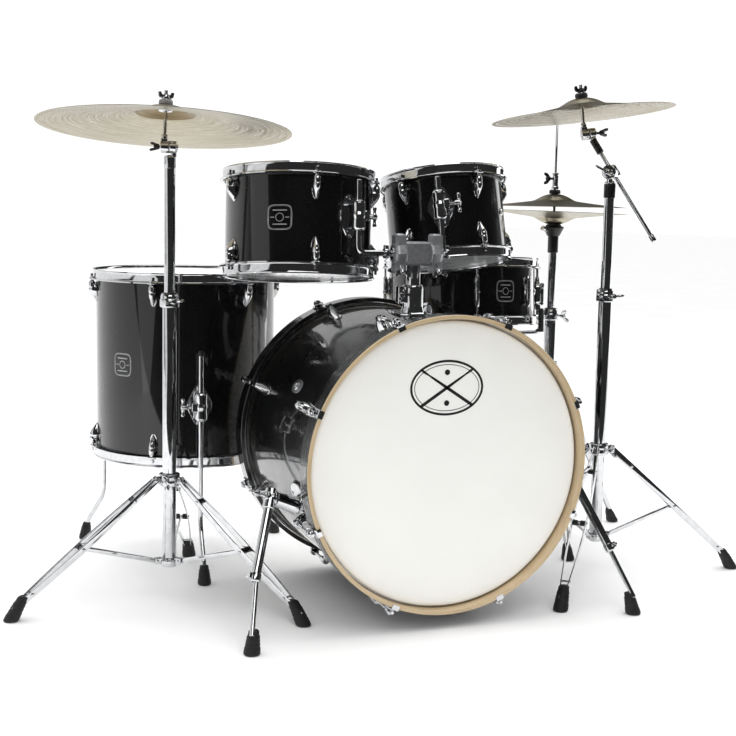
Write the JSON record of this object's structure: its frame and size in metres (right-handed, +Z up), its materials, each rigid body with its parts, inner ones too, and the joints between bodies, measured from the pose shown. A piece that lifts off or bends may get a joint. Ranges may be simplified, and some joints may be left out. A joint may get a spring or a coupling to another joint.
{
  "type": "acoustic drum kit",
  "caption": "Drum kit: bass drum on spurs with rack toms, floor tom and snare on stands, hi-hat, and ride and crash cymbals on folding tripod stands.",
  "frame": {"origin": "on the floor, under the middle of the kit's bounding box", "axes": "+Z up; the bass drum's axis lies along Y, its front head faces -Y; +X is to the right seen from the audience"},
  "size_m": [1.6512, 0.9768, 1.0983],
  "materials": {
    "black_wrap": "gloss black wrap over a maple ply shell",
    "wood_hoop": "gloss black lacquer, natural maple inside",
    "chrome": "polished chrome plate",
    "head": "coated white film",
    "bronze": "lathed and polished pale bronze",
    "rubber": "matt black rubber"
  },
  "bodies": {
    "kit": {"bass_shell": "black_wrap", "bass_front_hoop": "wood_hoop", "bass_front_head": "head", "bass_rear_hoop": "wood_hoop", "floor_tom_shell": "black_wrap", "floor_tom_top_hoop": "chrome", "floor_tom_top_head": "head", "floor_tom_bottom_hoop": "chrome", "snare_stand": "chrome", "ride_lower_tube": "chrome", "crash_lower_tube": "chrome", "hihat_stand": "chrome", "hihat_bottom_cymbal": "bronze"},
    "left_spur": {"left_spur": "chrome"},
    "right_spur": {"right_spur": "chrome"},
    "tom_post": {"tom_post": "chrome"},
    "left_tom_arm": {"left_tom_arm": "chrome"},
    "right_tom_arm": {"right_tom_arm": "chrome"},
    "left_tom": {"left_tom_shell": "black_wrap", "left_tom_top_hoop": "chrome", "left_tom_top_head": "head", "left_tom_bottom_hoop": "chrome"},
    "right_tom": {"right_tom_shell": "black_wrap", "right_tom_top_hoop": "chrome", "right_tom_top_head": "head", "right_tom_bottom_hoop": "chrome"},
    "floor_tom_front_leg": {"floor_tom_front_leg": "chrome"},
    "floor_tom_left_leg": {"floor_tom_left_leg": "chrome"},
    "floor_tom_right_leg": {"floor_tom_right_leg": "chrome"},
    "snare": {"snare_shell": "black_wrap", "snare_top_hoop": "chrome", "snare_top_head": "head", "snare_bottom_hoop": "chrome", "snare_basket": "chrome"},
    "strainer_lever": {"snare_strainer_lever": "chrome"},
    "ride_leg_collar": {"ride_leg_collar": "chrome"},
    "ride_leg_1": {"ride_leg_1": "chrome"},
    "ride_brace_1": {"ride_brace_1": "chrome"},
    "ride_leg_2": {"ride_leg_2": "chrome"},
    "ride_brace_2": {"ride_brace_2": "chrome"},
    "ride_leg_3": {"ride_leg_3": "chrome"},
    "ride_brace_3": {"ride_brace_3": "chrome"},
    "ride_upper_tube": {"ride_upper_tube": "chrome"},
    "ride_tilter": {"ride_tilter": "chrome"},
    "ride_cymbal": {"ride_cymbal": "bronze"},
    "crash_leg_collar": {"crash_leg_collar": "chrome"},
    "crash_leg_1": {"crash_leg_1": "chrome"},
    "crash_brace_1": {"crash_brace_1": "chrome"},
    "crash_leg_2": {"crash_leg_2": "chrome"},
    "crash_brace_2": {"crash_brace_2": "chrome"},
    "crash_leg_3": {"crash_leg_3": "chrome"},
    "crash_brace_3": {"crash_brace_3": "chrome"},
    "crash_upper_tube": {"crash_upper_tube": "chrome"},
    "boom_clamp": {"boom_clamp": "chrome"},
    "boom_arm": {"boom_arm": "chrome"},
    "crash_tilter": {"crash_tilter": "chrome"},
    "crash_cymbal": {"crash_cymbal": "bronze"},
    "hihat_top": {"hihat_rod": "chrome", "hihat_top_cymbal": "bronze"},
    "hihat_footboard": {"hihat_footboard": "chrome"}
  },
  "joints": [
    {"name": "left_spur_fold", "type": "hinge", "parent": "kit", "child": "left_spur", "pos_m": [-0.32051, -0.33405, 0.252], "axis": [0.9374, 0, -0.3482], "range_deg": [0, 55]},
    {"name": "right_spur_fold", "type": "hinge", "parent": "kit", "child": "right_spur", "pos_m": [0.30349, -0.33405, 0.252], "axis": [0.9374, 0, 0.3482], "range_deg": [0, 24]},
    {"name": "tom_post_height", "type": "slide", "parent": "kit", "child": "tom_post", "axis": [0, 0, 1], "range_m": [0, 0.04]},
    {"name": "left_tom_arm_tilt", "type": "hinge", "parent": "tom_post", "child": "left_tom_arm", "pos_m": [-0.05352, -0.24405, 0.726], "axis": [1, 0, 0], "range_deg": [-6, 6]},
    {"name": "right_tom_arm_tilt", "type": "hinge", "parent": "tom_post", "child": "right_tom_arm", "pos_m": [0.03648, -0.24405, 0.726], "axis": [1, 0, 0], "range_deg": [-6, 6]},
    {"name": "left_tom_slide", "type": "slide", "parent": "left_tom_arm", "child": "left_tom", "axis": [0.039, 0.1148, 0.9926], "range_m": [0, 0.02]},
    {"name": "right_tom_slide", "type": "slide", "parent": "right_tom_arm", "child": "right_tom", "axis": [-0.0367, 0.1903, 0.981], "range_m": [0, 0.02]},
    {"name": "floor_tom_front_leg_slide", "type": "slide", "parent": "kit", "child": "floor_tom_front_leg", "axis": [0, 0, 1], "range_m": [0, 0.12]},
    {"name": "floor_tom_left_leg_slide", "type": "slide", "parent": "kit", "child": "floor_tom_left_leg", "axis": [0, 0, 1], "range_m": [0, 0.12]},
    {"name": "floor_tom_right_leg_slide", "type": "slide", "parent": "kit", "child": "floor_tom_right_leg", "axis": [0, 0, 1], "range_m": [0, 0.12]},
    {"name": "snare_basket_tilt", "type": "hinge", "parent": "kit", "child": "snare", "pos_m": [0.30413, 0.19345, 0.50109], "axis": [1, 0, 0], "range_deg": [-12, 1]},
    {"name": "snare_throw_off", "type": "hinge", "parent": "snare", "child": "strainer_lever", "pos_m": [0.48787, 0.13387, 0.5925], "axis": [0.342, 0.9397, 0], "range_deg": [0, 60]},
    {"name": "ride_tripod_fold", "type": "slide", "parent": "kit", "child": "ride_leg_collar", "axis": [0, 0, 1], "range_m": [0, 0.195]},
    {"name": "ride_leg_1_hinge", "type": "hinge", "parent": "ride_leg_collar", "child": "ride_leg_1", "pos_m": [-0.51307, -0.09126, 0.253], "axis": [0.168, -0.9858, 0], "range_deg": [0, 45.94]},
    {"name": "ride_brace_1_hinge", "type": "hinge", "parent": "kit", "child": "ride_brace_1", "pos_m": [-0.51012, -0.09075, 0.084], "axis": [-0.168, 0.9858, 0], "range_deg": [0, 65.88]},
    {"name": "ride_leg_2_hinge", "type": "hinge", "parent": "ride_leg_collar", "child": "ride_leg_2", "pos_m": [-0.46273, -0.10991, 0.253], "axis": [0.7697, 0.6384, 0], "range_deg": [0, 45.94]},
    {"name": "ride_brace_2_hinge", "type": "hinge", "parent": "kit", "child": "ride_brace_2", "pos_m": [-0.46464, -0.1076, 0.084], "axis": [-0.7697, -0.6384, 0], "range_deg": [0, 65.88]},
    {"name": "ride_leg_3_hinge", "type": "hinge", "parent": "ride_leg_collar", "child": "ride_leg_3", "pos_m": [-0.47175, -0.05698, 0.253], "axis": [-0.9377, 0.3474, 0], "range_deg": [0, 45.94]},
    {"name": "ride_brace_3_hinge", "type": "hinge", "parent": "kit", "child": "ride_brace_3", "pos_m": [-0.47279, -0.05979, 0.084], "axis": [0.9377, -0.3474, 0], "range_deg": [0, 65.88]},
    {"name": "ride_height", "type": "slide", "parent": "kit", "child": "ride_upper_tube", "axis": [0, 0, 1], "range_m": [0, 0.12]},
    {"name": "ride_tilt", "type": "hinge", "parent": "ride_upper_tube", "child": "ride_tilter", "pos_m": [-0.48252, -0.08605, 0.929], "axis": [0.9329, -0.3597, -0.0181], "range_deg": [-8, 20]},
    {"name": "ride_spin", "type": "hinge", "parent": "ride_tilter", "child": "ride_cymbal", "pos_m": [-0.49079, -0.07874, 0.96499], "axis": [0.0552, 0.0933, 0.9941], "continuous": true},
    {"name": "crash_tripod_fold", "type": "slide", "parent": "kit", "child": "crash_leg_collar", "axis": [0, 0, 1], "range_m": [0, 0.12813]},
    {"name": "crash_leg_1_hinge", "type": "hinge", "parent": "crash_leg_collar", "child": "crash_leg_1", "pos_m": [0.46492, -0.18829, 0.285], "axis": [0.7367, -0.6762, 0], "range_deg": [0, 33.03]},
    {"name": "crash_brace_1_hinge", "type": "hinge", "parent": "kit", "child": "crash_brace_1", "pos_m": [0.46695, -0.18608, 0.086], "axis": [-0.7367, 0.6762, 0], "range_deg": [0, 45.48]},
    {"name": "crash_leg_2_hinge", "type": "hinge", "parent": "crash_leg_collar", "child": "crash_leg_2", "pos_m": [0.51614, -0.17219, 0.285], "axis": [0.2173, 0.9761, 0], "range_deg": [0, 33.03]},
    {"name": "crash_brace_2_hinge", "type": "hinge", "parent": "kit", "child": "crash_brace_2", "pos_m": [0.51322, -0.17153, 0.086], "axis": [-0.2173, -0.9761, 0], "range_deg": [0, 45.48]},
    {"name": "crash_leg_3_hinge", "type": "hinge", "parent": "crash_leg_collar", "child": "crash_leg_3", "pos_m": [0.47659, -0.13588, 0.285], "axis": [-0.954, -0.2999, 0], "range_deg": [0, 33.03]},
    {"name": "crash_brace_3_hinge", "type": "hinge", "parent": "kit", "child": "crash_brace_3", "pos_m": [0.47749, -0.13874, 0.086], "axis": [0.954, 0.2999, 0], "range_deg": [0, 45.48]},
    {"name": "crash_height", "type": "slide", "parent": "kit", "child": "crash_upper_tube", "axis": [0, 0, 1], "range_m": [0, 0.12]},
    {"name": "boom_tilt", "type": "hinge", "parent": "crash_upper_tube", "child": "boom_clamp", "pos_m": [0.48589, -0.16545, 0.905], "axis": [0.7071, 0.7071, 0], "range_deg": [-20, 30]},
    {"name": "boom_slide", "type": "slide", "parent": "boom_clamp", "child": "boom_arm", "axis": [-0.3923, 0.3923, 0.832], "range_m": [-0.03, 0.08]},
    {"name": "crash_tilt", "type": "hinge", "parent": "boom_arm", "child": "crash_tilter", "pos_m": [0.46072, -0.11058, 0.98986], "axis": [0.9291, -0.3525, 0.112], "range_deg": [-15, 15]},
    {"name": "crash_spin", "type": "hinge", "parent": "crash_tilter", "child": "crash_cymbal", "pos_m": [0.44655, -0.10384, 1.03034], "axis": [-0.0939, 0.0682, 0.9932], "continuous": true},
    {"name": "hihat_rod_lift", "type": "slide", "parent": "kit", "child": "hihat_top", "axis": [0, 0, 1], "range_m": [-0.008, 0], "stiffness_N_per_m": 1500, "springref_m": 0.03},
    {"name": "hihat_pedal", "type": "hinge", "parent": "kit", "child": "hihat_footboard", "pos_m": [0.54119, 0.44525, 0.02], "axis": [1, 0, 0], "range_deg": [0, 1.75]}
  ],
  "couplings": [
    {"joint": "ride_leg_1_hinge", "follows": "ride_tripod_fold", "rad_per_m": 4.1107},
    {"joint": "ride_brace_1_hinge", "follows": "ride_tripod_fold", "rad_per_m": 5.8959},
    {"joint": "ride_leg_2_hinge", "follows": "ride_tripod_fold", "rad_per_m": 4.1107},
    {"joint": "ride_brace_2_hinge", "follows": "ride_tripod_fold", "rad_per_m": 5.8959},
    {"joint": "ride_leg_3_hinge", "follows": "ride_tripod_fold", "rad_per_m": 4.1107},
    {"joint": "ride_brace_3_hinge", "follows": "ride_tripod_fold", "rad_per_m": 5.8959},
    {"joint": "crash_leg_1_hinge", "follows": "crash_tripod_fold", "rad_per_m": 4.4977},
    {"joint": "crash_brace_1_hinge", "follows": "crash_tripod_fold", "rad_per_m": 6.1941},
    {"joint": "crash_leg_2_hinge", "follows": "crash_tripod_fold", "rad_per_m": 4.4977},
    {"joint": "crash_brace_2_hinge", "follows": "crash_tripod_fold", "rad_per_m": 6.1941},
    {"joint": "crash_leg_3_hinge", "follows": "crash_tripod_fold", "rad_per_m": 4.4977},
    {"joint": "crash_brace_3_hinge", "follows": "crash_tripod_fold", "rad_per_m": 6.1941},
    {"joint": "hihat_pedal", "follows": "hihat_rod_lift", "rad_per_m": -3.79}
  ]
}
